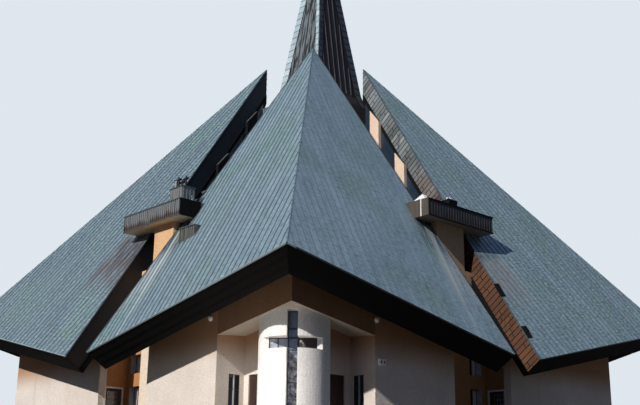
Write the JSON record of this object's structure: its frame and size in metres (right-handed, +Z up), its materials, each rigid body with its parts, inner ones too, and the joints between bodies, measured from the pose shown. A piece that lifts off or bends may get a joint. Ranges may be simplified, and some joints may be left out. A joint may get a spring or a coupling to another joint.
{
  "type": "modern church building",
  "caption": "Church on a square plan turned on its corner, with steep seamed roof wings round a tall spire, rendered walls, and a corner porch with a round drum and a cross window",
  "frame": {"origin": "on the ground, at the middle of the square plan's bounding box", "axes": "+Z up, -Y out of the porch corner towards the viewer, +X to the viewer's right"},
  "size_m": [38.44, 38.44, 34.1003],
  "materials": {
    "copper": "pre-weathered green-grey standing seam sheet",
    "dark_sheet": "dark brown ribbed sheet",
    "render": "rough cream render on masonry",
    "white_render": "smooth white render",
    "glass": "dark glazing",
    "timber": "dark brown stained boards",
    "concrete": "floor screed",
    "steel": "dull steel"
  },
  "bodies": {
    "church": {"front_wing_roof": "copper", "front_wing_wall_right": "render", "front_wing_wall_left": "render", "right_wing_roof": "copper", "right_wing_wall_right": "render", "right_wing_wall_left": "render", "back_wing_roof": "copper", "back_wing_wall_right": "render", "back_wing_wall_left": "render", "left_wing_roof": "copper", "left_wing_wall_right": "render", "left_wing_wall_left": "render", "front_right_gap_wall": "render", "front_right_gap_window": "glass", "front_right_gap_roof": "render", "front_right_gap_glazing": "glass", "front_right_canopy": "dark_sheet", "back_right_gap_wall": "render", "back_right_gap_window": "glass", "back_right_gap_roof": "render", "back_right_gap_glazing": "glass", "back_right_canopy": "dark_sheet", "back_left_gap_wall": "render", "back_left_gap_window": "glass", "back_left_gap_roof": "render", "back_left_gap_glazing": "glass", "back_left_canopy": "dark_sheet", "front_left_gap_wall": "render", "front_left_gap_window": "glass", "front_left_gap_roof": "render", "front_left_gap_glazing": "glass", "front_left_canopy": "dark_sheet", "roof_hatch": "dark_sheet", "chimney": "copper", "canopy_vent": "dark_sheet", "spire_foot": "render", "spire": "dark_sheet", "spire_cross": "steel", "porch_wall_right": "render", "porch_wall_left": "render", "porch_window_right": "glass", "porch_window_left": "glass", "porch_lintel_right": "render", "porch_lintel_left": "render", "porch_ceiling": "white_render", "porch_drum": "white_render", "cross_window": "glass", "floor_slab": "concrete"},
    "porch_door_right": {"porch_door_right": "timber"},
    "porch_door_left": {"porch_door_left": "timber"},
    "front_right_side_door": {"front_right_side_door": "timber"},
    "front_left_side_door": {"front_left_side_door": "timber"}
  },
  "joints": [
    {"name": "porch_door_right_hinge", "type": "hinge", "parent": "church", "child": "porch_door_right", "pos_m": [1.9639, -11.9566, 1.1], "axis": [0, 0, 1], "range_deg": [0, 90]},
    {"name": "porch_door_left_hinge", "type": "hinge", "parent": "church", "child": "porch_door_left", "pos_m": [-1.9639, -11.9566, 1.1], "axis": [0, 0, 1], "range_deg": [-90, 0]},
    {"name": "front_right_side_door_hinge", "type": "hinge", "parent": "church", "child": "front_right_side_door", "pos_m": [8.8138, -5.9171, 1.1], "axis": [0, 0, 1], "range_deg": [-90, 0]},
    {"name": "front_left_side_door_hinge", "type": "hinge", "parent": "church", "child": "front_left_side_door", "pos_m": [-8.8138, -5.9171, 1.1], "axis": [0, 0, 1], "range_deg": [0, 90]}
  ]
}
